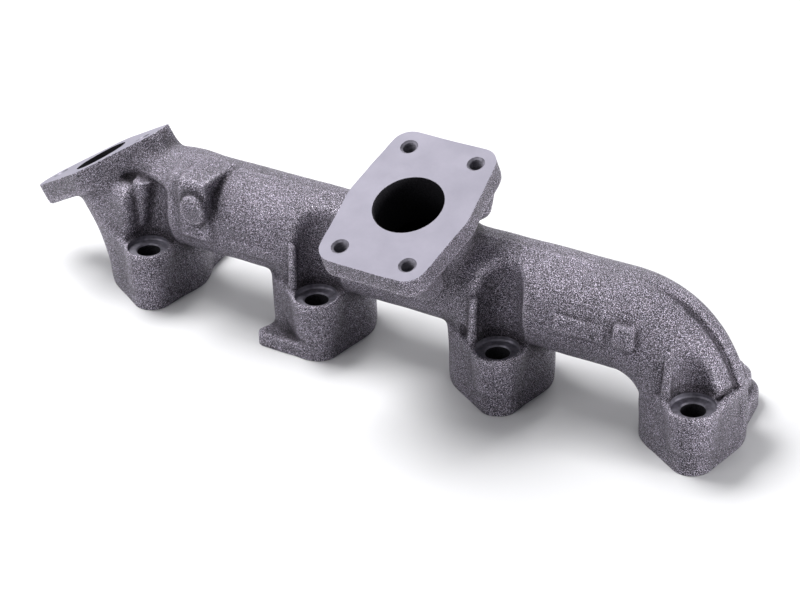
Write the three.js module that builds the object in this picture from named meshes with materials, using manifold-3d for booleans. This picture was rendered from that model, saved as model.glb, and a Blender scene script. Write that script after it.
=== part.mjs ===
// Exhaust manifold of a four cylinder engine: one sand-cast iron log with four port feet,
// a turbocharger outlet and a gas recirculation outlet, divided into its named regions.
// Millimetres, +Z up, +X along the log. The four port faces lie on one plane, Z = 0.
import * as THREE from 'three';
import { mergeVertices } from 'three/addons/utils/BufferGeometryUtils.js';
import Module from 'manifold-3d';

const wasm = await Module();
wasm.setup();

// Driving dimensions
const PITCH = 105;                 // spacing of the port feet
const FEET = 4;
const PORT_X = -12.5;              // port centre from the near stud hole
const PORT_Y = 25;
const FLANGE_T = 10;               // part of the foot that is named the port flange
const BLOCK_H = 27.6;              // top of the foot block, under the log
const PORT_R = 25.4;               // outer radius of the foot around the port
const PORT_BORE_R = 16.5;
const NOSE_R = 9.8;                // foot nose at the port face
const BOSS_R = 12;                 // near stud boss at its top
const SPOT_Z = 30.8;               // spotface height
const SPOT_R = 11.4;
const RIM_Z = 31.6;                // as-cast rim around the spotface
const STUD_R = 6.1;                // clearance for an M10 stud
const FAR_R = 10.4;                // far stud boss
const FAR_H = 19;
const FAR_INNER = [-25, 51];       // far stud hole of the two middle feet
const FAR_OUTER = [-9, 57];        // far stud hole of the two end feet
const LOBE_INNER_R = 10.4;         // flange outline around the far stud hole
const LOBE_OUTER_R = 14.3;
const POCKET_R = 12.9;             // spanner clearance beside the log
const POCKET_TOP = 75;
const POCKET_WALL = 4.5;           // iron left between a pocket and the gas passage
const LOG_Y = 25;
const LOG_Z = 53;
const LOG_R = 24.8;
const LOG_BORE_R = 19;
const LOG_START = 13;              // centre of the round left end
const BEND_R = 35;                 // end elbow centreline
const BEND_Z = LOG_Z - BEND_R;     // height of the bend's own axis
const LOG_END = PORT_X + (FEET - 1) * PITCH - BEND_R;
const RISER_INSET = 0.7;           // risers are this much slimmer than the log
const END_INSET = 0.5;             // the same at the elbow's own riser
const SKIN = 0.05;                 // keeps two round surfaces from coinciding
const TURBO_X = 162.2;
const TURBO_Z = 98.8;
const TURBO_TILT = THREE.MathUtils.degToRad(20.8);
const TURBO_T = 12;
const TURBO_HALF_W = 29.2;
const TURBO_HALF_L = 44;
const TURBO_CORNER = 10;
const TURBO_BULGE = 33.3;          // half width beside the bore
const TURBO_BULGE_R = 12;
const TURBO_BORE_R = 17.4;
const TURBO_HOLE = [18.9, 33.9];
const TURBO_NECK_R = 27.5;
const TURBO_NECK_L = 14;           // part of the neck that is its own region
const TAP_R = 3.4;                 // tapping size of M8
const TAP_L = 28;                  // through the flange, centred on its face
const OUT = 2;                     // bores run this far past a machined face
const EGR_TILT = THREE.MathUtils.degToRad(31.1);
const EGR_FACE = new THREE.Vector3(-46.9, 25, 62.3);
const EGR_T = 12;
const EGR_HOLE = 34.2;
const EGR_TIP_R = 11.6;
const EGR_WAIST_R = 22;
const EGR_NECK_R = 19.5;
const EGR_BORE_R = 14.6;
const BLOCK_X = [20, 41];          // squared part of the log that carries the sensor boss
const BLOCK_Y = -0.5;
const BLOCK_Z = [50, 78];
const PROBE = new THREE.Vector3(33.4, -3.9, 64.4);
const PROBE_R = 8.2;
const PROBE_DRAFT = 0.6;
const TAB_H = 7;                   // low tab beside foot 2
const TAB_R = 5;
const TAB = [[-27, -4.5], [-4, -4], [-22, 12]];
const PAD_X = [272.5, 283.5];      // blank identification pad
const PAD_Z = [52, 64];
const PAD_RISE = 1;
const RIB_RISE = 2;                // rib along the outside of the elbow
const RIB_HALF = 3;
const SPLITS = [-8, 52, 122, 203]; // where the log is divided
const GAP = 0.3;                   // clearance between neighbouring regions
const REACH = 400;                 // beyond the whole part
const FRONT = -20;
const BACK = 90;
const TOP = 120;
const SEG = 24;

const castIron = { color: 0x4b494e, roughness: 0.75, metalness: 0.55 };
const machined = { color: 0xb7b4c2, roughness: 0.4, metalness: 0.8 };

function solid(geometry) {
  geometry.deleteAttribute('normal');
  geometry.deleteAttribute('uv');
  const g = mergeVertices(geometry, 1e-4);
  return new wasm.Manifold(new wasm.Mesh({
    numProp: 3,
    vertProperties: new Float32Array(g.attributes.position.array),
    triVerts: new Uint32Array(g.index.array),
  }));
}

function placed(geometry, matrix) {
  return solid(geometry.clone().applyMatrix4(matrix));
}

function box(x0, x1, y0, y1, z0, z1) {
  const g = new THREE.BoxGeometry(x1 - x0, y1 - y0, z1 - z0);
  g.translate((x0 + x1) / 2, (y0 + y1) / 2, (z0 + z1) / 2);
  return solid(g);
}

// Cone or cylinder from a to b
function rod(a, b, ra, rb = ra, seg = SEG) {
  const dir = b.clone().sub(a);
  const g = new THREE.CylinderGeometry(rb, ra, dir.length(), seg);
  const q = new THREE.Quaternion().setFromUnitVectors(new THREE.Vector3(0, 1, 0), dir.clone().normalize());
  g.applyQuaternion(q);
  const mid = a.clone().add(b).multiplyScalar(0.5);
  g.translate(mid.x, mid.y, mid.z);
  return solid(g);
}

function post(x, y, z0, z1, r, rTop = r, seg = SEG) {
  return rod(new THREE.Vector3(x, y, z0), new THREE.Vector3(x, y, z1), r, rTop, seg);
}

// Convex outline around a list of circles [x, y, r]
function hullOutline(circles, seg = SEG) {
  const pts = [];
  for (const [x, y, r] of circles) {
    for (let i = 0; i < seg; i += 1) {
      const a = (i / seg) * Math.PI * 2;
      pts.push(new THREE.Vector2(x + r * Math.cos(a), y + r * Math.sin(a)));
    }
  }
  pts.sort((p, q) => p.x - q.x || p.y - q.y);
  const cross = (o, a, b) => (a.x - o.x) * (b.y - o.y) - (a.y - o.y) * (b.x - o.x);
  const half = (list) => {
    const out = [];
    for (const p of list) {
      while (out.length > 1 && cross(out[out.length - 2], out[out.length - 1], p) <= 1e-9) out.pop();
      out.push(p);
    }
    out.pop();
    return out;
  };
  return new THREE.Shape([...half(pts), ...half([...pts].reverse())]);
}

function slab(shape, z0, z1, matrix = new THREE.Matrix4()) {
  const g = new THREE.ExtrudeGeometry(shape, { depth: z1 - z0, bevelEnabled: false, curveSegments: 8 });
  g.translate(0, 0, z0);
  return placed(g, matrix);
}

// Local frames: X along the flange, Z out of the machined face
function frame(origin, xAxis, zAxis) {
  const yAxis = zAxis.clone().cross(xAxis).normalize();
  return new THREE.Matrix4().makeBasis(xAxis, yAxis, zAxis).setPosition(origin);
}

const turboNormal = new THREE.Vector3(0, -Math.sin(TURBO_TILT), Math.cos(TURBO_TILT));
const turboFace = new THREE.Vector3(TURBO_X, 0, TURBO_Z);
const turboFrame = frame(turboFace, new THREE.Vector3(1, 0, 0), turboNormal);
const egrNormal = new THREE.Vector3(-Math.sin(EGR_TILT), 0, Math.cos(EGR_TILT));
const egrAlong = new THREE.Vector3(Math.cos(EGR_TILT), 0, Math.sin(EGR_TILT));
const egrFrame = frame(EGR_FACE, egrAlong, egrNormal);

const logAt = (x) => new THREE.Vector3(x, LOG_Y, LOG_Z);
const footX = (i) => i * PITCH;
const portX = (i) => footX(i) + PORT_X;
const isEnd = (i) => i === 0 || i === FEET - 1;
const farStud = (i) => (isEnd(i) ? FAR_OUTER : FAR_INNER);

class QuarterTurn extends THREE.Curve {
  getPoint(t, out = new THREE.Vector3()) {
    const a = (1 - t) * Math.PI / 2;
    return out.set(LOG_END + BEND_R * Math.cos(a), LOG_Y, BEND_Z + BEND_R * Math.sin(a));
  }
}

function elbow(r) {
  const circle = new THREE.Shape();
  circle.absarc(0, 0, r, 0, Math.PI * 2);
  return solid(new THREE.ExtrudeGeometry(circle, {
    steps: 12, curveSegments: SEG / 2, bevelEnabled: false, extrudePath: new QuarterTurn(),
  }));
}

function foot(i) {
  const x = footX(i);
  const [fx, fy] = farStud(i);
  const lobeR = isEnd(i) ? LOBE_OUTER_R : LOBE_INNER_R;
  const body = hullOutline([[x, 0, NOSE_R], [portX(i), PORT_Y, PORT_R]]);
  const lobe = hullOutline([[portX(i), PORT_Y, PORT_R - 3], [x + fx, fy, lobeR]]);
  let f = slab(body, 0, BLOCK_H);
  f = f.add(slab(lobe, 0, FLANGE_T));
  f = f.add(post(x + fx, fy, FLANGE_T - 1, FAR_H, FAR_R));
  return f.add(post(x, 0, 0, RIM_Z, NOSE_R, BOSS_R));
}

// Outer form of the casting
let casting = rod(logAt(LOG_START), logAt(LOG_END + SKIN * 10), LOG_R - SKIN);
const endBall = new THREE.SphereGeometry(LOG_R, SEG, SEG / 2);
endBall.rotateZ(Math.PI / 2);
endBall.translate(LOG_START, LOG_Y, LOG_Z);
casting = casting.add(solid(endBall));
casting = casting.add(elbow(LOG_R));
casting = casting.add(post(portX(FEET - 1), PORT_Y, 0, BEND_Z + 1, LOG_R - END_INSET));
for (let i = 0; i < FEET; i += 1) {
  casting = casting.add(foot(i));
  if (i < FEET - 1) casting = casting.add(post(portX(i), PORT_Y, 0, LOG_Z, LOG_R - RISER_INSET));
}
const turboBack = turboFace.clone().addScaledVector(turboNormal, -TURBO_T / 2);
casting = casting.add(rod(logAt(TURBO_X), turboBack, LOG_R, TURBO_NECK_R));
const egrFoot = new THREE.Vector3(EGR_FACE.x + EGR_FACE.z * Math.tan(EGR_TILT), LOG_Y, 0);
const egrBack = EGR_FACE.clone().addScaledVector(egrNormal, -EGR_T / 2);
const aboveFeet = box(-REACH, REACH, -REACH, REACH, 0, REACH);
casting = casting.add(rod(egrFoot, egrBack, EGR_NECK_R).intersect(aboveFeet));

// Turbocharger flange: rounded oblong, a little wider beside the bore
const tw = TURBO_HALF_W - TURBO_CORNER;
const tl = TURBO_HALF_L - TURBO_CORNER;
const corners = [[tw, tl], [-tw, tl], [-tw, -tl], [tw, -tl]];
const turboCircles = corners.map(([x, y]) => [x, y, TURBO_CORNER]);
const bulgeX = TURBO_BULGE - TURBO_BULGE_R;
turboCircles.push([bulgeX, 0, TURBO_BULGE_R], [-bulgeX, 0, TURBO_BULGE_R]);
casting = casting.add(slab(hullOutline(turboCircles), -TURBO_T, 0, turboFrame));

// Gas recirculation flange: two-hole lozenge
const egrCircles = [[-EGR_HOLE, 0, EGR_TIP_R], [0, 0, EGR_WAIST_R], [EGR_HOLE, 0, EGR_TIP_R]];
casting = casting.add(slab(hullOutline(egrCircles), -EGR_T, 0, egrFrame));

// Squared part of the log and its blank sensor boss
casting = casting.add(box(BLOCK_X[0], BLOCK_X[1], BLOCK_Y, LOG_Y, BLOCK_Z[0], BLOCK_Z[1]));
const probeRoot = PROBE.clone();
probeRoot.y = LOG_Y - LOG_R + PROBE_R;
casting = casting.add(rod(probeRoot, PROBE, PROBE_R, PROBE_R - PROBE_DRAFT));

// Low tab beside foot 2 and the blank pad on the right of the log
const tabShape = hullOutline(TAB.map(([x, y]) => [footX(1) + x, y, TAB_R]), 16);
casting = casting.add(slab(tabShape, 0, TAB_H));
const padBlock = box(PAD_X[0], PAD_X[1], LOG_Y - LOG_R - 4, LOG_Y - LOG_R + 8, PAD_Z[0], PAD_Z[1]);
casting = casting.add(padBlock.intersect(elbow(LOG_R + PAD_RISE)));

// Raised rib along the outside of the elbow
function ribDisc(r, half) {
  const a = new THREE.Vector3(LOG_END, LOG_Y - half, BEND_Z);
  const b = new THREE.Vector3(LOG_END, LOG_Y + half, BEND_Z);
  return rod(a, b, r, r, 3 * SEG);
}
const ribOuter = ribDisc(LOG_R + BEND_R + RIB_RISE, RIB_HALF);
const ribInner = ribDisc(LOG_R + BEND_R + GAP, RIB_HALF + 1);
const ribBox = box(LOG_END, REACH, LOG_Y - RIB_HALF, LOG_Y + RIB_HALF, BLOCK_H + GAP, TOP);
const rib = ribOuter.subtract(ribInner).intersect(ribBox);

// Gas passages
let hollow = rod(logAt(portX(0)), logAt(LOG_END + SKIN * 10), LOG_BORE_R - SKIN);
hollow = hollow.add(elbow(LOG_BORE_R));
hollow = hollow.add(post(portX(FEET - 1), PORT_Y, -1, BEND_Z + 1, PORT_BORE_R, LOG_BORE_R - END_INSET));
for (let i = 0; i < FEET - 1; i += 1) {
  hollow = hollow.add(post(portX(i), PORT_Y, -1, LOG_Z, PORT_BORE_R));
}
for (let i = 0; i < FEET; i += 1) {
  const [fx, fy] = farStud(i);
  const r = POCKET_R + POCKET_WALL;
  hollow = hollow.subtract(post(footX(i), 0, SPOT_Z - POCKET_WALL, TOP, r));
  hollow = hollow.subtract(post(footX(i) + fx, fy, FAR_H - POCKET_WALL, TOP, r));
}

// Stud holes, spotfaces and spanner pockets
for (let i = 0; i < FEET; i += 1) {
  const x = footX(i);
  const [fx, fy] = farStud(i);
  hollow = hollow.add(post(x, 0, -1, SPOT_Z + 1, STUD_R));
  hollow = hollow.add(post(x, 0, SPOT_Z, RIM_Z + 1, SPOT_R));
  hollow = hollow.add(post(x, 0, RIM_Z, POCKET_TOP, POCKET_R));
  hollow = hollow.add(post(x + fx, fy, -1, FAR_H + 1, STUD_R));
  hollow = hollow.add(post(x + fx, fy, FAR_H, POCKET_TOP, POCKET_R));
}

// Outlet bores and tapped holes
const turboOut = turboFace.clone().addScaledVector(turboNormal, OUT);
hollow = hollow.add(rod(logAt(TURBO_X), turboOut, TURBO_BORE_R));
const egrOut = EGR_FACE.clone().addScaledVector(egrNormal, OUT);
hollow = hollow.add(rod(new THREE.Vector3(portX(0), LOG_Y, 0), egrOut, EGR_BORE_R));
const tapPlaces = [];
for (const sx of [-1, 1]) {
  for (const sy of [-1, 1]) tapPlaces.push([turboFrame, sx * TURBO_HOLE[0], sy * TURBO_HOLE[1]]);
  tapPlaces.push([egrFrame, sx * EGR_HOLE, 0]);
}
for (const [matrix, x, y] of tapPlaces) {
  const g = new THREE.CylinderGeometry(TAP_R, TAP_R, TAP_L, 20);
  g.rotateX(Math.PI / 2);
  g.translate(x, y, 0);
  hollow = hollow.add(placed(g, matrix));
}
casting = casting.subtract(hollow);

// Division into named regions, each taken out of what is left
const group = new THREE.Group();
let rest = casting;

function addNode(name, body, look) {
  const mesh = body.getMesh();
  const g = new THREE.BufferGeometry();
  g.setAttribute('position', new THREE.BufferAttribute(Float32Array.from(mesh.vertProperties), 3));
  g.setIndex(new THREE.BufferAttribute(Uint32Array.from(mesh.triVerts), 1));
  g.computeVertexNormals();
  const m = new THREE.Mesh(g, new THREE.MeshStandardMaterial(look));
  m.name = name;
  group.add(m);
}

// region(e) is the region grown by e on every side; the gap is left around the node
function carveRegion(name, region, look = castIron) {
  addNode(name, rest.intersect(region(0)), look);
  rest = rest.subtract(region(GAP));
}

// limits are [x0, x1, y0, y1, z0, z1]
function carve(name, limits, look = castIron, matrix = null) {
  carveRegion(name, (e) => {
    const l = limits.map((v, k) => v + (k % 2 ? e : -e));
    const g = new THREE.BoxGeometry(l[1] - l[0], l[3] - l[2], l[5] - l[4]);
    g.translate((l[0] + l[1]) / 2, (l[2] + l[3]) / 2, (l[4] + l[5]) / 2);
    return matrix ? placed(g, matrix) : solid(g);
  }, look);
}

const WIDE = 60;                   // wider than either outlet flange
carve('turbo_flange', [-WIDE, WIDE, -WIDE, WIDE, -TURBO_T, WIDE], machined, turboFrame);
const neckEnd = -TURBO_T - TURBO_NECK_L;
carve('turbo_neck', [-WIDE, WIDE, -WIDE, WIDE, neckEnd, -TURBO_T - GAP], castIron, turboFrame);
carve('egr_flange', [-WIDE, WIDE, -WIDE, WIDE, -EGR_T, WIDE], machined, egrFrame);
const LEFT_OF_FOOT = 60;
const RIGHT_OF_FOOT = 30;
for (let i = 0; i < FEET; i += 1) {
  const x = footX(i);
  const [fx, fy] = farStud(i);
  const n = i + 1;
  if (i === 1) carve('foot_2_tab', [x - 40, x - 10.5, FRONT, -0.5, -1, TAB_H + 0.5]);
  carve(`port_${n}_flange`, [x - 48, x + RIGHT_OF_FOOT, FRONT, BACK, -1, FLANGE_T]);
  carveRegion(`port_${n}_stud_boss`, (e) => {
    const w = BOSS_R + 2 + e;
    const low = box(x - w, x + w, FRONT, 7.9 + e, FLANGE_T + GAP - e, RIM_Z + e);
    return low.add(box(x - w, x + w, FRONT, BOSS_R + e, BLOCK_H + GAP - e, RIM_Z + e));
  });
  carveRegion(`port_${n}_far_boss`, (e) => (
    post(x + fx, fy, FLANGE_T + GAP - e, FAR_H + 1, FAR_R + SKIN / 2 + e)
  ));
  const riser = [x - LEFT_OF_FOOT, x + RIGHT_OF_FOOT, FRONT, BACK, FLANGE_T + GAP, BLOCK_H];
  carve(`port_${n}_riser`, riser);
}
const above = [FRONT, BACK, BLOCK_H + GAP, TOP];
carve('probe_boss', [PROBE.x - 9, PROBE.x + 9, FRONT, BLOCK_Y - GAP, 40, 80]);
carve('egr_neck', [-TOP, SPLITS[0], ...above]);
carve('log_left_end', [SPLITS[0] + GAP, SPLITS[1], ...above]);
carve('log_section_1', [SPLITS[1] + GAP, SPLITS[2], ...above]);
carve('log_turbo_tee', [SPLITS[2] + GAP, SPLITS[3], FRONT, BACK, 0, TOP]);
const padBack = LOG_Y - LOG_R + 2.2;
carve('id_pad_blank', [PAD_X[0] - 1.5, PAD_X[1] + 1.5, FRONT, padBack, PAD_Z[0] - 2, PAD_Z[1] + 2]);
carve('log_section_2', [SPLITS[3] + GAP, LOG_END, ...above]);
addNode('end_elbow', rest, castIron);
addNode('elbow_rib', rib, castIron);

// Origin at the bottom centre of the whole part
group.updateMatrixWorld(true);
const bounds = new THREE.Box3().setFromObject(group);
const shift = new THREE.Vector3(
  -(bounds.min.x + bounds.max.x) / 2, -(bounds.min.y + bounds.max.y) / 2, -bounds.min.z);
for (const m of group.children) m.geometry.translate(shift.x, shift.y, shift.z);

export default group;
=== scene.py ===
"""Bare cast iron exhaust manifold: one seamless casting with machined faces, on a pale studio floor.

Design coordinates are millimetres: X along the log from near stud hole 1, Y away from the turbo side,
Z up from the port face. put() moves them into the row frame, in metres.
"""

import math

import bpy
import numpy as np
import openvdb
from mathutils import Matrix, Vector


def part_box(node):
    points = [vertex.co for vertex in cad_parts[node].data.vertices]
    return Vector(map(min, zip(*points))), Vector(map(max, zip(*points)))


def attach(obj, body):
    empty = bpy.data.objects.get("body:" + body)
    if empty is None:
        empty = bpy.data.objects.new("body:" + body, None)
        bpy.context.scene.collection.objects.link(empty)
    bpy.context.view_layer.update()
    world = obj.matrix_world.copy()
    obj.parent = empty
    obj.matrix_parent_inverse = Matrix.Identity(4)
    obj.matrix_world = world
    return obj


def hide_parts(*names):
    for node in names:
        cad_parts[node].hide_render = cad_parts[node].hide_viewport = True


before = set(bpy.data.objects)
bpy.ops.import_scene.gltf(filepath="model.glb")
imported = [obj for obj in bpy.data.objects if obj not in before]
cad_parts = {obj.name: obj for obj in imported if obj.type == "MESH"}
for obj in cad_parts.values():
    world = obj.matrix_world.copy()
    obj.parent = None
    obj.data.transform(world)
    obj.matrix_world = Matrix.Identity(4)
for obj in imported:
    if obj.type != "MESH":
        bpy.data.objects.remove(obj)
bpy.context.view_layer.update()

# ---------------------------------------------------------------- driving dimensions, mm
PITCH = 105.0
FEET = 4
PORT_X, PORT_Y, PORT_R, PORT_BORE_R = -12.5, 25.0, 25.4, 16.5
NOSE_R, BOSS_R = 10.3, 12.7
FOOT_TOP, RIM_TOP, SPOT_Z, SPOT_R, STUD_R = 30.9, 33.0, 30.4, 10.9, 6.0
FAR_R, FAR_H = 10.4, 19.0
FAR_INNER, FAR_OUTER = (-25.0, 51.0), (-9.0, 57.0)
LOBE_INNER_R, LOBE_OUTER_R = 10.4, 14.3
POCKET_R, POCKET_WALL = 12.9, 4.5
LOG_Y, LOG_Z, LOG_R, LOG_BORE_R, LOG_START = 25.0, 53.0, 24.8, 19.0, 13.0
BEND_R = 35.0
LOG_END = PORT_X + (FEET - 1) * PITCH - BEND_R
TURBO = np.array([162.2, 0.0, 98.8])
TURBO_TILT = math.radians(20.8)
TURBO_T, TURBO_BORE_R, TURBO_NECK_R = 12.0, 17.4, 27.5
TURBO_HALF_W, TURBO_HALF_L, TURBO_CORNER, TURBO_BULGE = 29.2, 44.0, 10.0, 33.3
TURBO_HOLES = (18.9, 33.9)
EGR = np.array([-46.9, 25.0, 62.3])
EGR_TILT = math.radians(31.1)
EGR_T, EGR_HOLE, EGR_TIP_R, EGR_WAIST_R = 12.0, 34.2, 11.6, 22.0
EGR_NECK_R, EGR_BORE_R = 19.5, 14.6
MM = 0.001

turbo_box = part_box("turbo_flange")
log_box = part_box("log_section_2")
SHIFT = np.array([
    (turbo_box[0][0] + turbo_box[1][0]) / 2 / MM - TURBO[0],
    (log_box[0][1] + log_box[1][1]) / 2 / MM - LOG_Y,
    0.0,
])


def put(p):
    """Design millimetres to the row frame in metres."""
    return (np.asarray(p, float) + SHIFT) * MM


# ---------------------------------------------------------------- distance field of the casting
STEP = 1.15
FAR_AWAY = 30.0


def smin(a, b, k):
    h = np.maximum(k - np.abs(a - b), 0.0) / k
    return np.minimum(a, b) - h * h * k * 0.25


class Field:
    """A grid of signed distances, joined and cut with rounded corners of size k."""

    def __init__(self, lo, hi, step):
        self.lo = np.array(lo, float)
        self.step = step
        self.n = np.ceil((np.array(hi) - self.lo) / step).astype(int) + 1
        self.d = np.full(self.n, FAR_AWAY, np.float32)

    def block(self, lo, hi):
        cut, axes = [], []
        for k in range(3):
            a = int(np.clip(math.floor((lo[k] - self.lo[k]) / self.step), 0, self.n[k]))
            b = int(np.clip(math.ceil((hi[k] - self.lo[k]) / self.step) + 1, 0, self.n[k]))
            cut.append(slice(a, b))
            shape = [1, 1, 1]
            shape[k] = b - a
            axes.append((self.lo[k] + self.step * np.arange(a, b, dtype=np.float32)).reshape(shape))
        return tuple(cut), axes

    def add(self, shape, k=3.0):
        fn, lo, hi = shape
        margin = k + 4.0
        cut, (x, y, z) = self.block(np.array(lo) - margin, np.array(hi) + margin)
        self.d[cut] = smin(self.d[cut], fn(x, y, z), k)

    def cut(self, shape, k=1.0):
        fn, lo, hi = shape
        margin = k + 4.0
        cut, (x, y, z) = self.block(np.array(lo) - margin, np.array(hi) + margin)
        self.d[cut] = -smin(-self.d[cut], fn(x, y, z), k)


def capped(side, length, rnd):
    """Distance of a body from its side distance and its end distance, with rounded edges."""
    s = side + rnd
    e = length + rnd
    return np.minimum(np.maximum(s, e), 0) + np.hypot(np.maximum(s, 0), np.maximum(e, 0)) - rnd


def rod(a, b, ra, rb=None, rnd=0.5):
    """Cylinder or cone from a to b."""
    a, b = np.array(a, float), np.array(b, float)
    rb = ra if rb is None else rb
    length = np.linalg.norm(b - a)
    u = (b - a) / length

    def fn(x, y, z):
        px, py, pz = x - a[0], y - a[1], z - a[2]
        t = px * u[0] + py * u[1] + pz * u[2]
        radial = np.sqrt(np.maximum(px * px + py * py + pz * pz - t * t, 0))
        r = ra + (rb - ra) * np.clip(t / length, 0, 1)
        return capped(radial - r, np.abs(t - length / 2) - length / 2, rnd)

    big = max(ra, rb)
    return fn, np.minimum(a, b) - big, np.maximum(a, b) + big


def block(lo, hi, rnd):
    """Box between two corners with rounded edges."""
    lo, hi = np.array(lo, float), np.array(hi, float)
    mid, half = (lo + hi) / 2, (hi - lo) / 2 - rnd

    def fn(x, y, z):
        qx = np.abs(x - mid[0]) - half[0]
        qy = np.abs(y - mid[1]) - half[1]
        qz = np.abs(z - mid[2]) - half[2]
        out = np.sqrt(np.maximum(qx, 0) ** 2 + np.maximum(qy, 0) ** 2 + np.maximum(qz, 0) ** 2)
        return out + np.minimum(np.maximum(np.maximum(qx, qy), qz), 0) - rnd

    return fn, lo, hi


def ball(c, r):
    c = np.array(c, float)
    return (lambda x, y, z: np.sqrt((x - c[0]) ** 2 + (y - c[1]) ** 2 + (z - c[2]) ** 2) - r), c - r, c + r


def bend(r):
    """The end elbow: a quarter turn from +X down to -Z."""
    cz = LOG_Z - BEND_R

    def fn(x, y, z):
        dx, dz = x - LOG_END, z - cz
        ang = np.clip(np.arctan2(dz, dx), 0, math.pi / 2)
        px, pz = dx - BEND_R * np.cos(ang), dz - BEND_R * np.sin(ang)
        return np.sqrt(px * px + pz * pz + (y - LOG_Y) ** 2) - r

    big = BEND_R + r
    return fn, (LOG_END - r, LOG_Y - r, cz - r), (LOG_END + big, LOG_Y + r, cz + big)


def hull_edges(circles, seg=48):
    """Half-planes (nx, ny, c) of the convex outline round circles [x, y, r]."""
    ang = np.arange(seg) / seg * 2 * math.pi
    rims = [np.stack([cx + r * np.cos(ang), cy + r * np.sin(ang)], 1) for cx, cy, r in circles]
    pts = np.concatenate(rims)
    pts = pts[np.lexsort((pts[:, 1], pts[:, 0]))]

    def half(seq):
        out = []
        for p in seq:
            while len(out) > 1:
                o, q = out[-2], out[-1]
                if (q[0] - o[0]) * (p[1] - o[1]) - (q[1] - o[1]) * (p[0] - o[0]) > 1e-9:
                    break
                out.pop()
            out.append(p)
        return out[:-1]

    ring = np.array(half(list(pts)) + half(list(pts[::-1])))
    nxt = np.roll(ring, -1, 0)
    d = nxt - ring
    n = np.stack([d[:, 1], -d[:, 0]], 1) / np.linalg.norm(d, axis=1)[:, None]
    return np.column_stack([n, (n * ring).sum(1)]), ring


def prism(circles, z0, z1, rnd=1.5, draft=0.0, matrix=None, seg=48):
    """Convex outline swept along the local Z; draft widens it by that many mm per mm of height."""
    edges, ring = hull_edges(circles, seg)
    (x_lo, y_lo), (x_hi, y_hi) = ring.min(0), ring.max(0)
    corners = np.array([(cx, cy, z) for cx in (x_lo, x_hi) for cy in (y_lo, y_hi) for z in (z0, z1)])
    if matrix is None:
        lo, hi = corners.min(0), corners.max(0)
    else:
        world = corners @ matrix[0].T + matrix[1]
        lo, hi = world.min(0), world.max(0)

    def fn(x, y, z):
        if matrix is not None:
            axes, origin = matrix
            dx, dy, dz = x - origin[0], y - origin[1], z - origin[2]
            x, y, z = (dx * axes[0, k] + dy * axes[1, k] + dz * axes[2, k] for k in range(3))
        side = None
        for nx, ny, c in edges:
            e = nx * x + ny * y - c
            side = e if side is None else np.maximum(side, e)
        side = side - draft * z
        return capped(side, np.abs(z - (z0 + z1) / 2) - (z1 - z0) / 2, rnd)

    return fn, lo - 2, hi + 2


def plane_frame(origin, x_axis, normal):
    """Columns are the local X, Y, Z axes in design coordinates."""
    x_axis, normal = np.array(x_axis, float), np.array(normal, float)
    return np.column_stack([x_axis, np.cross(normal, x_axis), normal]), np.array(origin, float)


TURBO_N = np.array([0, -math.sin(TURBO_TILT), math.cos(TURBO_TILT)])
EGR_N = np.array([-math.sin(EGR_TILT), 0, math.cos(EGR_TILT)])
EGR_U = np.array([math.cos(EGR_TILT), 0, math.sin(EGR_TILT)])
TURBO_F = plane_frame(TURBO, (1, 0, 0), TURBO_N)
EGR_F = plane_frame(EGR, EGR_U, EGR_N)


def local(f, x, y, z):
    return f[1] + f[0] @ np.array([x, y, z], float)


def far_bolt(i):
    return FAR_OUTER if i in (0, FEET - 1) else FAR_INNER


BAR_PROUD = 1.1
BELOW = -3.5


def raised_bar(x0, x1, z0, z1):
    """A blank bar standing a little proud of the log's front."""
    mid_x, mid_z = (x0 + x1) / 2, (z0 + z1) / 2

    def fn(x, y, z):
        tube = np.sqrt((y - LOG_Y) ** 2 + (z - LOG_Z) ** 2) - (LOG_R + BAR_PROUD)
        inside = np.maximum(np.abs(x - mid_x) - (x1 - x0) / 2, np.abs(z - mid_z) - (z1 - z0) / 2)
        return capped(tube, np.maximum(inside, y - LOG_Y), 0.4)

    return fn, (x0, LOG_Y - LOG_R - 1, z0), (x1, LOG_Y, z1)


# ---------------------------------------------------------------- the casting, part by part
RIM_WIDTH, RIM_ROUND, FOOT_DRAFT = 2.6, 1.2, 0.012
LOBE_TOP, LOBE_INSET = 9.0, 3.0


def add_feet(f):
    """Port feet with a raised rim round a flat top, and a low lobe under each far stud."""
    for i in range(FEET):
        x = i * PITCH
        px = x + PORT_X
        fx, fy = far_bolt(i)
        lobe_r = LOBE_OUTER_R if i in (0, FEET - 1) else LOBE_INNER_R
        outline = [[x, 0, NOSE_R], [px, PORT_Y, PORT_R]]
        inner = [[cx, cy, r - RIM_WIDTH] for cx, cy, r in outline]
        lobe = [[px, PORT_Y, PORT_R - LOBE_INSET], [x + fx, fy, lobe_r]]
        f.add(prism(outline, BELOW, RIM_TOP, rnd=RIM_ROUND, draft=FOOT_DRAFT), 1.0)
        f.cut(prism(inner, FOOT_TOP, 45, rnd=0.8), 0.8)
        f.add(prism(lobe, BELOW, LOBE_TOP, rnd=2.4), 2.5)
        f.add(rod((x + fx, fy, BELOW), (x + fx, fy, FAR_H), FAR_R + 0.6, FAR_R - 0.2, rnd=3.4), 3.0)


RISER_TOP = LOG_Z + 8
CREST_START, CREST_R = 46.0, 1.0


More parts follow.
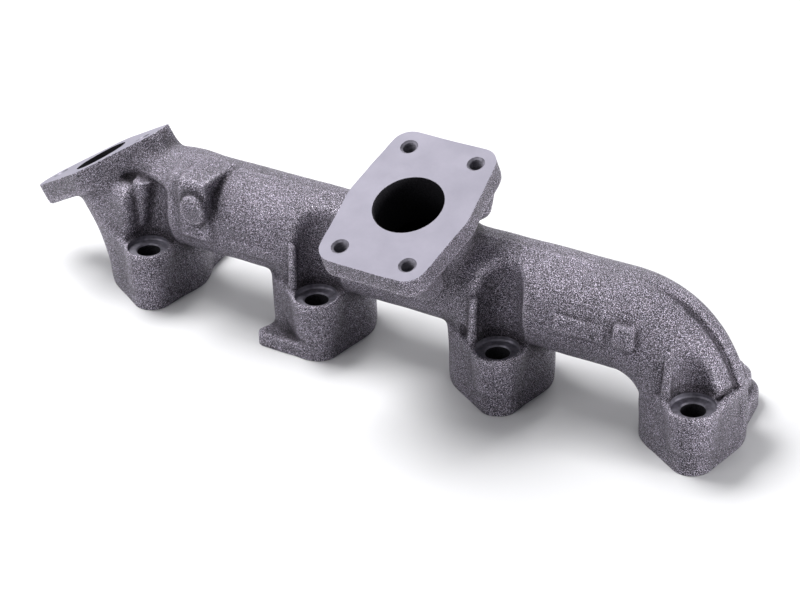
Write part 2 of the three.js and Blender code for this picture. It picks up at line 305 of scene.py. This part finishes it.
def add_log(f):
    """The log with its round end, the elbow, the risers, and the parting line along the crest."""
    end_x = PORT_X + (FEET - 1) * PITCH
    f.add(rod((LOG_START, LOG_Y, LOG_Z), (LOG_END, LOG_Y, LOG_Z), LOG_R, rnd=0.1), 3.0)
    f.add(ball((LOG_START, LOG_Y, LOG_Z), LOG_R), 0.5)
    f.add(bend(LOG_R), 0.5)
    f.add(rod((end_x, LOG_Y, BELOW), (end_x, LOG_Y, LOG_Z - BEND_R), LOG_R), 2.0)
    for i in range(FEET - 1):
        px = i * PITCH + PORT_X
        f.add(rod((px, PORT_Y, BELOW), (px, PORT_Y, RISER_TOP), PORT_R - 0.8, PORT_R - 1.4, rnd=8), 5.0)
    crest_y, crest_z = LOG_Y - 1, LOG_Z + LOG_R - 0.5
    f.add(rod((CREST_START, crest_y, crest_z), (LOG_END + 4, crest_y, crest_z), CREST_R, rnd=0.5), 0.8)


EGR_SQUARE_END = ([43.8, -1.5, 2.4], [43.8, 8.5, 2.4])
EGR_WEB_X, EGR_WEB_Z, EGR_WEB_R = (-6, -28), 60, 9.5


def add_egr_side(f):
    """Recirculation neck, the webs that join it to the log, and its flange."""
    root = EGR - EGR_N * (EGR[2] / EGR_N[2])
    f.add(rod(root + EGR_N * 4, EGR - EGR_N * 5, EGR_NECK_R), 9.0)
    f.add(rod((LOG_START + 2, LOG_Y, LOG_Z + 4), local(EGR_F, 28, 2, -10), 20.0, 11.5, rnd=3), 5.0)
    web = [(x, LOG_Y, EGR_WEB_Z) for x in EGR_WEB_X]
    f.add(rod(*web, EGR_WEB_R, rnd=3), 5.0)
    outline = [[-EGR_HOLE, -2.0, EGR_TIP_R], [0, 0, EGR_WAIST_R], *EGR_SQUARE_END]
    f.add(prism(outline, -EGR_T, 3.0, rnd=1.6, matrix=EGR_F), 4.0)


BULGE_ROUND = 12.0
# bosses of the tapped holes: radius at the flange, radius below, how far in x and y, depth, rounding
FRONT_BOSS = (9.6, 8.0, 0.85, 0.62, -30, 2.6)
REAR_BOSS = (10.2, 10.0, 0.8, 0.7, -26, 4.0)


def add_turbo_side(f):
    """Turbocharger neck, its flange, and the bosses of the tapped holes."""
    f.add(rod((TURBO[0], LOG_Y, LOG_Z), TURBO - TURBO_N * 6, LOG_R, TURBO_NECK_R), 4.0)
    w, l = TURBO_HALF_W - TURBO_CORNER, TURBO_HALF_L - TURBO_CORNER
    plate = [[sx * w, sy * l, TURBO_CORNER] for sx in (-1, 1) for sy in (-1, 1)]
    plate += [[s * (TURBO_BULGE - BULGE_ROUND), 0, BULGE_ROUND] for s in (-1, 1)]
    f.add(prism(plate, -TURBO_T, 3.0, rnd=2.0, matrix=TURBO_F), 3.5)
    hx, hy = TURBO_HOLES
    for sx in (-1, 1):
        for sy, (top_r, low_r, in_x, in_y, depth, k) in ((-1, FRONT_BOSS), (1, REAR_BOSS)):
            top = local(TURBO_F, sx * hx, sy * hy, -4)
            low = local(TURBO_F, sx * hx * in_x, sy * hy * in_y, depth)
            f.add(rod(top, low, top_r, low_r, rnd=4), k)


PROBE_X, PROBE_Z, PROBE_R = 34.2, 64.0, 8.6
PAD_X, PAD_Z, PAD_PROUD = (274.5, 282.0), (54.0, 62.5), 1.5


def add_pads(f):
    """Squared part of the log with its round blank boss, foot 2's tab, and the blank pad."""
    f.add(block((24.0, -1.4, 46.0), (41.4, 27.0, 79.0), 1.6), 2.4)
    f.add(block((12.0, 1.5, 46.0), (36.0, 27.0, 78.0), 8.0), 6.0)
    f.add(rod((PROBE_X, 8, PROBE_Z), (PROBE_X, -5.4, PROBE_Z), PROBE_R, PROBE_R - 0.7, rnd=0.8), 1.0)
    x = PITCH
    tab = [[x - 28, -5.5, 4.6], [x - 4, -5.5, 4.8], [x - 22, 12, 5]]
    f.add(prism(tab, BELOW, 7.0, rnd=1.0, seg=24), 3.0)
    f.add(rod((x - 20, 2, 2), (x - 24, 14, 20), 6.5, 4.0, rnd=3), 6.0)
    upright = plane_frame((0, 0, 0), (1, 0, 0), (0, -1, 0))
    pad = [[px, pz, 1.5] for px in PAD_X for pz in PAD_Z]
    f.add(prism(pad, -12, PAD_PROUD, rnd=0.6, matrix=upright, seg=16), 0.6)


RIB_OFFSET, RIB_HALF, RIB_Y = 2.2, 4.2, 2.6
GROOVE_R, GROOVE_Y = 1.35, -2.0
FADE_DEPTH, FADE_FROM, FADE_OVER = 1.9, 34.0, 26.0


def add_elbow_rib(f):
    """Rib along the outside of the elbow, with a groove beside it, both fading in along the bend."""
    cz = LOG_Z - BEND_R
    outer = BEND_R + LOG_R

    def fade(x):
        return FADE_DEPTH * np.clip((LOG_END + FADE_FROM - x) / FADE_OVER, 0, 1)

    def rib(x, y, z):
        dx, dz = x - LOG_END, z - cz
        r = np.hypot(dx, dz) + fade(x)
        side = np.abs(r - (outer - RIB_OFFSET)) - RIB_HALF
        return capped(side, np.maximum(np.abs(y - LOG_Y - RIB_Y) - 3.4, -dx - 4), 1.0)

    def groove(x, y, z):
        dx, dz = x - LOG_END, z - cz
        r = np.hypot(dx, dz)
        ring = np.hypot(r - (outer + 0.3) - fade(x), y - LOG_Y - GROOVE_Y) - GROOVE_R
        return np.maximum(ring, np.maximum(-dx - 2, RIM_TOP - z))

    reach = outer + 4
    lo = (LOG_END - 4, LOG_Y - 5, 10)
    hi = (LOG_END + reach, LOG_Y + 8, cz + reach)
    f.add((rib, lo, hi), 1.2)
    f.cut((groove, lo, hi), 1.2)


DIMPLE, DIMPLE_R = (2 * PITCH - 20.6, 0.6, 36.5), 3.2
RECESS_X, RECESS_Y, RECESS_Z, RECESS_R = (-1, 5), -39, -19, 4.2
BARS = ((54.0, 86.0, 43.5, 50.5), (241.5, 267.5, 51.5, 60.5))


def add_marks(f):
    """Dimple left of foot 3's pocket, recess under the turbo flange's front edge, blank bars on the log."""
    f.cut(ball(DIMPLE, DIMPLE_R), 0.8)
    ends = [local(TURBO_F, x, RECESS_Y, RECESS_Z) for x in RECESS_X]
    f.cut(rod(*ends, RECESS_R, rnd=2), 1.5)
    for bar in BARS:
        f.add(raised_bar(*bar), 0.5)


MOULD_WAVE = 0.16


def add_mould_waves(f):
    """Slight unevenness of the sand mould."""
    gx, gy, gz = (f.lo[k] + f.step * np.arange(f.n[k], dtype=np.float32) for k in range(3))
    gx, gy, gz = gx[:, None, None], gy[None, :, None], gz[None, None, :]
    wave = np.sin(gx * 0.13 + gz * 0.21 + 0.4) * np.sin(gy * 0.19 - gx * 0.047 + 1.3)
    wave = wave + 0.6 * np.sin(gx * 0.31 + 2.0) * np.sin(gz * 0.37 + gy * 0.11) * np.sin(gy * 0.29 + 0.7)
    f.d += (MOULD_WAVE * wave).astype(np.float32)


POCKET_FLOOR = FOOT_TOP + 0.6
POCKET_TOP, POCKET_1_TOP = 100, 66
BOSS_FOOT, BOSS_TOP = 12, SPOT_Z + 2.2


def add_pockets(f):
    """Spanner pockets, the bosses inside them, and the ridge left of each near pocket but foot 1's."""
    for i in range(FEET):
        x = i * PITCH
        fx, fy = far_bolt(i)
        top, k = (POCKET_1_TOP, 4.5) if i == 0 else (POCKET_TOP, 3.0)
        f.cut(rod((x, 0, POCKET_FLOOR), (x, 0, top), POCKET_R, rnd=3), k)
        f.cut(rod((x + fx, fy, FAR_H), (x + fx, fy, POCKET_TOP), POCKET_R, rnd=3), 3.0)
        f.add(rod((x, 0, BOSS_FOOT), (x, 0, BOSS_TOP), BOSS_R - 1.7, BOSS_R - 0.2, rnd=0.9), 2.0)
        if i > 0:
            f.add(rod((x - 14.2, -0.4, 31), (x - 12.2, -0.6, 58), 2.3, 1.9, rnd=1.4), 1.4)
    # web at the back of foot 1's pocket
    f.add(rod((-9.4, 8.6, 39), (-8.4, 10.6, 64), 1.2, 5.2, rnd=1.1), 2.5)


PASSAGE_BELOW = BELOW - 6


def gas_passages(f):
    """Field of the hollow inside, kept clear of the spanner pockets by POCKET_WALL."""
    hollow = Field(f.lo, f.lo + (f.n - 1) * STEP, STEP)
    hollow.add(rod((LOG_START, LOG_Y, LOG_Z), (LOG_END, LOG_Y, LOG_Z), LOG_BORE_R), 0.5)
    hollow.add(ball((LOG_START, LOG_Y, LOG_Z), LOG_BORE_R), 0.5)
    hollow.add(bend(LOG_BORE_R), 0.5)
    for i in range(FEET):
        px = i * PITCH + PORT_X
        top = LOG_Z - (BEND_R if i == FEET - 1 else 0)
        hollow.add(rod((px, PORT_Y, PASSAGE_BELOW), (px, PORT_Y, top), PORT_BORE_R), 4.0)
    hollow.add(rod((TURBO[0], LOG_Y, LOG_Z), TURBO + TURBO_N * 2, TURBO_BORE_R), 3.0)
    hollow.add(rod((PORT_X, LOG_Y, 4), EGR + EGR_N * 2, EGR_BORE_R), 4.0)
    clear_r = POCKET_R + POCKET_WALL
    for i in range(FEET):
        x = i * PITCH
        fx, fy = far_bolt(i)
        hollow.cut(rod((x, 0, SPOT_Z - POCKET_WALL), (x, 0, 110), clear_r), 3.0)
        hollow.cut(rod((x + fx, fy, FAR_H - POCKET_WALL), (x + fx, fy, 110), clear_r), 3.0)
    return hollow


def casting_field():
    f = Field((-94, -48, -5), (336, 80, 122), STEP)
    add_feet(f)
    add_log(f)
    add_egr_side(f)
    add_turbo_side(f)
    add_pads(f)
    add_elbow_rib(f)
    add_marks(f)
    add_mould_waves(f)
    add_pockets(f)
    hollow = gas_passages(f)
    f.d = -smin(-f.d, hollow.d, 0.6)
    return f, hollow


def field_mesh(f, name):
    grid = openvdb.FloatGrid(background=FAR_AWAY)
    grid.copyFromArray(np.clip(f.d, -4, 4).astype(np.float64))
    points, tris, quads = grid.convertToPolygons(isovalue=0.0, adaptivity=0.0)
    pts = put(f.lo + points * f.step)
    faces = [tuple(int(v) for v in q) for q in quads] + [tuple(int(v) for v in t) for t in tris]
    me = bpy.data.meshes.new(name)
    me.from_pydata(pts.tolist(), [], faces)
    me.update()
    return me


# ---------------------------------------------------------------- machined cuts
def solid_object(name, verts, faces):
    me = bpy.data.meshes.new(name)
    me.from_pydata([tuple(v) for v in verts], [], faces)
    me.update()
    ob = bpy.data.objects.new(name, me)
    bpy.context.scene.collection.objects.link(ob)
    return ob


def turned(name, f, profile, seg=64, wave=None):
    """Solid of revolution about the local Z of frame f. profile is [(r, z)...] from the lowest z up."""
    verts, faces = [], []
    rows = len(profile)
    for j, (r, z) in enumerate(profile):
        for i in range(seg):
            a = 2 * math.pi * i / seg
            rr = r + (wave(a, z) if wave else 0.0)
            verts.append(put(local(f, rr * math.cos(a), rr * math.sin(a), z)))
    for j in range(rows - 1):
        for i in range(seg):
            k = (i + 1) % seg
            faces.append((j * seg + i, j * seg + k, (j + 1) * seg + k, (j + 1) * seg + i))
    faces.append(tuple(range(seg))[::-1])
    faces.append(tuple((rows - 1) * seg + i for i in range(seg)))
    return solid_object(name, verts, faces)


def slab_cutter(name, f, hx, hy, z0, z1, cell=7.0):
    """A block on frame f whose faces are split into small triangles."""
    nx, ny = max(2, round(2 * hx / cell)), max(2, round(2 * hy / cell))
    verts, faces, seen = [], [], {}

    def vertex(i, j, k):
        key = (i, j, k)
        if key not in seen:
            seen[key] = len(verts)
            verts.append(put(local(f, -hx + 2 * hx * i / nx, -hy + 2 * hy * j / ny, (z0, z1)[k])))
        return seen[key]

    def quad(a, b, c, d):
        faces.extend([(a, b, c), (a, c, d)])

    for i in range(nx):
        for j in range(ny):
            quad(vertex(i, j, 1), vertex(i + 1, j, 1), vertex(i + 1, j + 1, 1), vertex(i, j + 1, 1))
            quad(vertex(i, j, 0), vertex(i, j + 1, 0), vertex(i + 1, j + 1, 0), vertex(i + 1, j, 0))
    for i in range(nx):
        quad(vertex(i, 0, 0), vertex(i + 1, 0, 0), vertex(i + 1, 0, 1), vertex(i, 0, 1))
        quad(vertex(i + 1, ny, 0), vertex(i, ny, 0), vertex(i, ny, 1), vertex(i + 1, ny, 1))
    for j in range(ny):
        quad(vertex(0, j + 1, 0), vertex(0, j, 0), vertex(0, j, 1), vertex(0, j + 1, 1))
        quad(vertex(nx, j, 0), vertex(nx, j + 1, 0), vertex(nx, j + 1, 1), vertex(nx, j, 1))
    return solid_object(name, verts, faces)


def shifted(f, x, y, z=0.0):
    return f[0], local(f, x, y, z)


UP = (np.eye(3), np.zeros(3))
TAP_MINOR, TAP_MAJOR, TAP_PITCH, TAP_DEPTH = 3.3, 4.1, 1.4, 17.0
SINK_R, THREAD_TOP = 4.5, -0.9
TURNED_RING, TURNED_DEPTH = 0.35, 0.06


def tapped(name, f):
    """A tapped hole with its countersink, as a cutter. Its thread is a little coarser than M8."""
    zs = np.arange(-TAP_DEPTH, THREAD_TOP + 0.05, TAP_PITCH / 6)

    def thread(a, z):
        if z > THREAD_TOP or z < -TAP_DEPTH + 0.5:
            return 0.0
        phase = (z / TAP_PITCH - a / (2 * math.pi)) % 1.0
        return (TAP_MAJOR - TAP_MINOR) * (1 - abs(2 * phase - 1))

    profile = [(0.4, -TAP_DEPTH - 2.0)] + [(TAP_MINOR, z) for z in zs]
    profile += [(TAP_MAJOR + 0.05, -0.35), (SINK_R, 0.0), (SINK_R + 0.3, 0.3)]
    return turned(name, f, profile, seg=36, wave=thread)


def stud_cutter(name, x, y, seat, seat_r, top):
    """A stud hole with small chamfers and a spotface that shows its turned rings."""
    f = shifted(UP, x, y)
    profile = [(STUD_R + 0.9, -2), (STUD_R + 0.9, -0.01), (STUD_R, 0.8)]
    profile += [(STUD_R, seat - 0.7), (STUD_R + 0.6, seat)]
    rings = np.arange(STUD_R + 0.9, seat_r - 0.7, TURNED_RING)
    profile += [(r, seat + TURNED_DEPTH * (j % 2)) for j, r in enumerate(rings)]
    profile += [(seat_r - 0.6, seat), (seat_r, seat + 0.7), (seat_r, top)]
    return turned(name, f, profile, seg=72)


def cut_away(ob, cutters):
    """Exact cuts, one after the other; the cutters are removed."""
    for c in cutters:
        m = ob.modifiers.new("cut", "BOOLEAN")
        m.operation = "DIFFERENCE"
        m.solver = "MANIFOLD"
        m.object = c
    deps = bpy.context.evaluated_depsgraph_get()
    done = bpy.data.meshes.new_from_object(ob.evaluated_get(deps))
    ob.modifiers.clear()
    old = ob.data
    ob.data = done
    bpy.data.meshes.remove(old)
    for c in cutters:
        me = c.data
        bpy.data.objects.remove(c)
        bpy.data.meshes.remove(me)


field, hollow = casting_field()
mesh = field_mesh(field, "casting")
casting = bpy.data.objects.new("casting", mesh)
bpy.context.scene.collection.objects.link(casting)

turbo_bore = [(TURBO_BORE_R, -10), (TURBO_BORE_R, -0.5), (TURBO_BORE_R + 0.5, 0), (TURBO_BORE_R + 0.5, 1)]
cutters = [
    slab_cutter("c_turbo", TURBO_F, 50, 60, 0, 20),
    slab_cutter("c_egr", EGR_F, 60, 40, 0, 20),
    turned("c_turbo_bore", TURBO_F, turbo_bore, seg=96),
    turned("c_egr_bore", EGR_F, [(EGR_BORE_R, -9), (EGR_BORE_R, 1)], seg=96),
]
for i in range(FEET):
    fx, fy = far_bolt(i)
    cutters.append(slab_cutter("c_port", shifted(UP, i * PITCH - 10, 28), 49, 52, -20, 0))
    cutters.append(stud_cutter("c_stud", i * PITCH, 0, SPOT_Z, SPOT_R, SPOT_Z + 14))
    cutters.append(stud_cutter("c_far_stud", i * PITCH + fx, fy, FAR_H - 0.6, FAR_R - 1.4, FAR_H + 12))
for sx in (-1, 1):
    for sy in (-1, 1):
        cutters.append(tapped("c_tap", shifted(TURBO_F, sx * TURBO_HOLES[0], sy * TURBO_HOLES[1])))
    cutters.append(tapped("c_tap", shifted(EGR_F, sx * EGR_HOLE, 0)))
cut_away(casting, cutters)
mesh = casting.data

# ---------------------------------------------------------------- which faces are machined
count = len(mesh.polygons)
centre = np.empty(count * 3)
normal = np.empty(count * 3)
mesh.polygons.foreach_get("center", centre)
mesh.polygons.foreach_get("normal", normal)
centre = centre.reshape(-1, 3) / MM - SHIFT
normal = normal.reshape(-1, 3)


FLAT, FACING = 0.04, 0.99


def on_plane(f, reach):
    d = (centre - f[1]) @ f[0][:, 2]
    near = np.linalg.norm(centre - f[1], axis=1) < reach
    return (np.abs(d) < FLAT) & (normal @ f[0][:, 2] > FACING) & near


def in_hole(f, r, z0, z1):
    q = (centre - f[1]) @ f[0]
    return (np.hypot(q[:, 0], q[:, 1]) < r) & (q[:, 2] > z0) & (q[:, 2] < z1)


TAP_REACH, PASSAGE_SHADE_DEPTH = 5.1, 1.4
underside = (np.abs(centre[:, 2]) < FLAT) & (normal[:, 2] < -FACING)
face = on_plane(TURBO_F, 80) | on_plane(EGR_F, 70) | underside
bore = in_hole(TURBO_F, TURBO_BORE_R + 0.7, -9.9, 0.5) | in_hole(EGR_F, EGR_BORE_R + 0.2, -8.9, 0.5)
for i in range(FEET):
    fx, fy = far_bolt(i)
    bore |= in_hole(shifted(UP, i * PITCH, 0), STUD_R + 1.2, -1, SPOT_Z + 0.1)
    bore |= in_hole(shifted(UP, i * PITCH, 0), SPOT_R + 0.05, SPOT_Z - 0.1, SPOT_Z + 14)
    bore |= in_hole(shifted(UP, i * PITCH + fx, fy), STUD_R + 1.2, -1, FAR_H - 1.1)
    bore |= in_hole(shifted(UP, i * PITCH + fx, fy), FAR_R - 1.35, FAR_H - 0.7, FAR_H + 12)
for sx in (-1, 1):
    for sy in (-1, 1):
        tap = shifted(TURBO_F, sx * TURBO_HOLES[0], sy * TURBO_HOLES[1])
        bore |= in_hole(tap, TAP_REACH, -20, 0.2)
    bore |= in_hole(shifted(EGR_F, sx * EGR_HOLE, 0), TAP_REACH, -20, 0.2)
bore &= ~face
cell = np.clip(np.round((centre - hollow.lo) / STEP).astype(int), 0, hollow.n - 1)
# walls of the gas passages and of the stud holes below the spotfaces get a near-black colour: painted shade
passage = (hollow.d[cell[:, 0], cell[:, 1], cell[:, 2]] < PASSAGE_SHADE_DEPTH) & ~face
for i in range(FEET):
    fx, fy = far_bolt(i)
    passage |= in_hole(shifted(UP, i * PITCH, 0), STUD_R + 0.1, -1, SPOT_Z - 1.5)
    passage |= in_hole(shifted(UP, i * PITCH + fx, fy), STUD_R + 0.1, -1, FAR_H - 2.5)
index = np.where(face, 1, np.where(passage, 3, np.where(bore, 2, 0))).astype(np.int32)


# ---------------------------------------------------------------- curvature for painted highlights on edges and painted shade in corners
def blurred(d, cells):
    """Mean over a box of 2 * cells + 1 grid points a side."""
    for axis in range(3):
        pad = [(cells + 1, cells) if k == axis else (0, 0) for k in range(3)]
        total = np.cumsum(np.pad(d, pad, mode="edge"), axis=axis, dtype=np.float64)
        n = d.shape[axis]
        hi = np.take(total, np.arange(2 * cells + 1, 2 * cells + 1 + n), axis=axis)
        lo = np.take(total, np.arange(0, n), axis=axis)
        d = ((hi - lo) / (2 * cells + 1)).astype(np.float32)
    return d


def sampled(d, p):
    """Values of grid d at points p, in grid cells, interpolated."""
    i = np.clip(np.floor(p).astype(int), 0, np.array(d.shape) - 2)
    t = np.clip(p - i, 0, 1)
    value = 0
    for a in (0, 1):
        for b in (0, 1):
            for c in (0, 1):
                w = np.prod(np.where((a, b, c), t, 1 - t), axis=1)
                value = value + w * d[i[:, 0] + a, i[:, 1] + b, i[:, 2] + c]
    return value


def curvature(name, solid, cells, gain):
    """Point attribute: above 0.5 on outer edges, below 0.5 in corners."""
    amount = sampled(blurred(solid, cells), cells_at)
    value = np.clip(0.5 + gain * (0.5 - amount), 0, 1).astype(np.float32)
    mesh.attributes.new(name, "FLOAT", "POINT").data.foreach_set("value", value)


at = np.empty(len(mesh.vertices) * 3)
mesh.vertices.foreach_get("co", at)
cells_at = (at.reshape(-1, 3) / MM - SHIFT - field.lo) / STEP
filled = np.clip(0.5 - field.d / STEP, 0, 1).astype(np.float32)
# fine and broad curvature; the iron material paints highlights on convex edges and shade in creases and
# corners from it
curvature("edge", filled, 2, 2.4)
curvature("corner", filled, 7, 1.6)


# ---------------------------------------------------------------- materials
def material(name):
    m = bpy.data.materials.new(name)
    m.use_nodes = True
    nt = m.node_tree
    bsdf = nt.nodes["Principled BSDF"]
    return m, nt, bsdf


def node(nt, kind, **values):
    n = nt.nodes.new(kind)
    for key, v in values.items():
        if key in n.inputs:
            n.inputs[key].default_value = v
        else:
            setattr(n, key, v)
    return n


def ramp(nt, source, stops):
    r = nt.nodes.new("ShaderNodeValToRGB")
    while len(r.color_ramp.elements) < len(stops):
        r.color_ramp.elements.new(0.5)
    for e, (p, c) in zip(r.color_ramp.elements, stops):
        e.position = p
        e.color = (*c, 1) if len(c) == 3 else c
    nt.links.new(source, r.inputs["Fac"])
    return r.outputs["Color"]


def grey(v, tint=(1.04, 0.975, 1.15)):
    return tuple(v * t for t in tint)


def cast_material():
    m, nt, bsdf = material("cast_iron")
    link = nt.links.new
    pos = nt.nodes.new("ShaderNodeTexCoord").outputs["Object"]
    grain = node(nt, "ShaderNodeTexNoise", Scale=2500.0, Detail=3.0, Roughness=0.6)
    coarse = node(nt, "ShaderNodeTexNoise", Scale=1400.0, Detail=2.0, Roughness=0.6)
    patch = node(nt, "ShaderNodeTexNoise", Scale=38.0, Detail=3.0, Roughness=0.55)
    cells = node(nt, "ShaderNodeTexVoronoi", Scale=900.0)
    for n in (grain, coarse, patch, cells):
        link(pos, n.inputs["Vector"])
    specks = [(0.39, grey(0.008)), (0.5, grey(0.07)), (0.57, grey(0.26)), (0.66, grey(0.85))]
    spark = ramp(nt, grain.outputs["Fac"], specks)
    tone = ramp(nt, patch.outputs["Fac"], [(0.3, (0.70, 0.69, 0.70)), (0.7, (0.90, 0.88, 0.91))])
    edge = node(nt, "ShaderNodeAttribute", attribute_name="edge")
    corner = node(nt, "ShaderNodeAttribute", attribute_name="corner")
    plain = (1.0, 1.0, 1.0)
    # painted highlights and shade: convex edges and ridges lighter, creases and corners darker, multiplied
    # into the colour
    edge_highlight_shade_stops = [(0.30, (0.45, 0.43, 0.45)), (0.5, plain), (0.72, (1.4, 1.4, 1.4))]
    edge_highlight_shade = ramp(nt, edge.outputs["Fac"], edge_highlight_shade_stops)
    corner_shade_highlight_stops = [(0.22, (0.38, 0.37, 0.38)), (0.48, plain), (0.8, (1.25, 1.25, 1.25))]
    corner_shade_highlight = ramp(nt, corner.outputs["Fac"], corner_shade_highlight_stops)
    colour = spark
    for layer in (tone, edge_highlight_shade, corner_shade_highlight):
        mix = node(nt, "ShaderNodeMix", data_type="RGBA", blend_type="MULTIPLY")
        mix.inputs[0].default_value = 1.0
        link(colour, mix.inputs[6])
        link(layer, mix.inputs[7])
        colour = mix.outputs[2]
    link(colour, bsdf.inputs["Base Color"])
    bsdf.inputs["Metallic"].default_value = 0.6
    rough = node(nt, "ShaderNodeMapRange")
    rough.inputs["To Min"].default_value = 0.36
    rough.inputs["To Max"].default_value = 0.6
    link(cells.outputs["Distance"], rough.inputs["Value"])
    link(rough.outputs["Result"], bsdf.inputs["Roughness"])
    add = node(nt, "ShaderNodeMath", operation="ADD")
    link(grain.outputs["Fac"], add.inputs[0])
    link(coarse.outputs["Fac"], add.inputs[1])
    bump = node(nt, "ShaderNodeBump", Strength=0.9, Distance=0.0004)
    link(add.outputs[0], bump.inputs["Height"])
    link(bump.outputs["Normal"], bsdf.inputs["Normal"])
    return m


def face_material():
    m, nt, bsdf = material("milled_face")
    link = nt.links.new
    pos = nt.nodes.new("ShaderNodeTexCoord").outputs["Object"]
    marks = node(nt, "ShaderNodeTexWave", wave_type="RINGS", Scale=420.0, Distortion=3.0, Detail=2.0)
    fine = node(nt, "ShaderNodeTexNoise", Scale=700.0, Detail=3.0)
    soft = node(nt, "ShaderNodeTexNoise", Scale=60.0, Detail=2.0)
    for n in (marks, fine, soft):
        link(pos, n.inputs["Vector"])
    base = ramp(nt, soft.outputs["Fac"], [(0.3, (0.205, 0.195, 0.243)), (0.7, (0.24, 0.228, 0.28))])
    link(base, bsdf.inputs["Base Color"])
    bsdf.inputs["Metallic"].default_value = 0.2
    rough = node(nt, "ShaderNodeMapRange")
    rough.inputs["To Min"].default_value = 0.58
    rough.inputs["To Max"].default_value = 0.70
    link(fine.outputs["Fac"], rough.inputs["Value"])
    link(rough.outputs["Result"], bsdf.inputs["Roughness"])
    bump = node(nt, "ShaderNodeBump", Strength=0.06, Distance=0.0001)
    link(marks.outputs["Fac"], bump.inputs["Height"])
    link(bump.outputs["Normal"], bsdf.inputs["Normal"])
    return m


def shaded_bore_material():
    m, nt, bsdf = material("machined_bore_painted_shade")
    link = nt.links.new
    pos = nt.nodes.new("ShaderNodeTexCoord").outputs["Object"]
    soft = node(nt, "ShaderNodeTexNoise", Scale=400.0, Detail=3.0)
    link(pos, soft.inputs["Vector"])
    # machined iron whose base is darker than the milled faces: painted shade for the insides of the holes
    base = ramp(nt, soft.outputs["Fac"], [(0.35, (0.13, 0.124, 0.15)), (0.65, (0.22, 0.21, 0.25))])
    link(base, bsdf.inputs["Base Color"])
    bsdf.inputs["Metallic"].default_value = 0.7
    bsdf.inputs["Roughness"].default_value = 0.5
    bump = node(nt, "ShaderNodeBump", Strength=0.2, Distance=0.0002)
    link(soft.outputs["Fac"], bump.inputs["Height"])
    link(bump.outputs["Normal"], bsdf.inputs["Normal"])
    return m


def passage_shade_material():
    m, nt, bsdf = material("passage_painted_shade")
    link = nt.links.new
    pos = nt.nodes.new("ShaderNodeTexCoord").outputs["Object"]
    grain = node(nt, "ShaderNodeTexNoise", Scale=1400.0, Detail=3.0)
    link(pos, grain.inputs["Vector"])
    # near-black: painted shade of the deep passages and stud holes
    link(ramp(nt, grain.outputs["Fac"], [(0.35, (0.008, 0.008, 0.010)), (0.65, (0.024, 0.022, 0.027))]),
         bsdf.inputs["Base Color"])
    bsdf.inputs["Roughness"].default_value = 0.85
    bsdf.inputs["Specular IOR Level"].default_value = 0.15
    bump = node(nt, "ShaderNodeBump", Strength=0.6, Distance=0.0003)
    link(grain.outputs["Fac"], bump.inputs["Height"])
    link(bump.outputs["Normal"], bsdf.inputs["Normal"])
    return m


mesh.materials.clear()
for m in (cast_material(), face_material(), shaded_bore_material(), passage_shade_material()):
    mesh.materials.append(m)
mesh.polygons.foreach_set("material_index", index)
mesh.polygons.foreach_set("use_smooth", (index == 0))
mesh.update()

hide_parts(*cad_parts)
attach(casting, "root")

# ---------------------------------------------------------------- floor, light, camera
FLOOR_HALF, FLOOR_Z = 4.0, -0.0002


def floor():
    me = bpy.data.meshes.new("floor")
    corners = [(-1, -1), (1, -1), (1, 1), (-1, 1)]
    me.from_pydata([(FLOOR_HALF * x, FLOOR_HALF * y, FLOOR_Z) for x, y in corners], [], [(0, 1, 2, 3)])
    ob = bpy.data.objects.new("floor", me)
    bpy.context.scene.collection.objects.link(ob)
    m, nt, bsdf = material("floor")
    bsdf.inputs["Base Color"].default_value = (0.66, 0.66, 0.67, 1)
    bsdf.inputs["Roughness"].default_value = 0.8
    me.materials.append(m)


floor()


def area(name, loc, target, size, power, colour=(1, 1, 1)):
    d = bpy.data.lights.new(name, "AREA")
    d.shape = "RECTANGLE"
    d.size, d.size_y = size
    d.energy = power
    d.color = colour
    ob = bpy.data.objects.new(name, d)
    ob.location = loc
    ob.rotation_euler = (Vector(target) - Vector(loc)).to_track_quat("-Z", "Y").to_euler()
    bpy.context.scene.collection.objects.link(ob)


area("key", (-0.75, 0.1, 1.35), (0, 0, 0.05), (1.0, 0.8), 37.0)
area("fill", (-0.7, -1.5, 0.7), (0, 0, 0.05), (1.0, 0.8), 9.0)
area("back", (-0.2, 1.5, 0.8), (0, 0, 0.05), (1.2, 0.6), 9.0)
area("side", (1.5, 0.1, 0.28), (0.2, 0, 0.04), (0.6, 0.35), 20.0)
world = bpy.data.worlds.new("studio")
world.use_nodes = True
world.node_tree.nodes["Background"].inputs["Color"].default_value = (0.95, 0.96, 1.0, 1)
world.node_tree.nodes["Background"].inputs["Strength"].default_value = 0.25
bpy.context.scene.world = world
bpy.context.scene.view_settings.view_transform = "Standard"

CAM_POS = (775.58, -932.24, 705.48)
CAM_YAW, CAM_PITCH, CAM_ROLL = math.radians(33.65), math.radians(30.57), math.radians(-2.59)
cam_data = bpy.data.cameras.new("camera")
cam_data.sensor_width = 36.0
cam_data.lens = 119.79
cam = bpy.data.objects.new("camera", cam_data)
bpy.context.scene.collection.objects.link(cam)
ahead = Vector((-math.sin(CAM_YAW), math.cos(CAM_YAW), 0))
forward = math.cos(CAM_PITCH) * ahead - math.sin(CAM_PITCH) * Vector((0, 0, 1))
right = Vector((math.cos(CAM_YAW), math.sin(CAM_YAW), 0))
upward = right.cross(forward)
c, s = math.cos(CAM_ROLL), math.sin(CAM_ROLL)
right, upward = c * right + s * upward, -s * right + c * upward
basis = Matrix((right, upward, -forward)).transposed().to_4x4()
basis.translation = Vector(put(CAM_POS))
cam.matrix_world = basis
bpy.context.scene.camera = cam
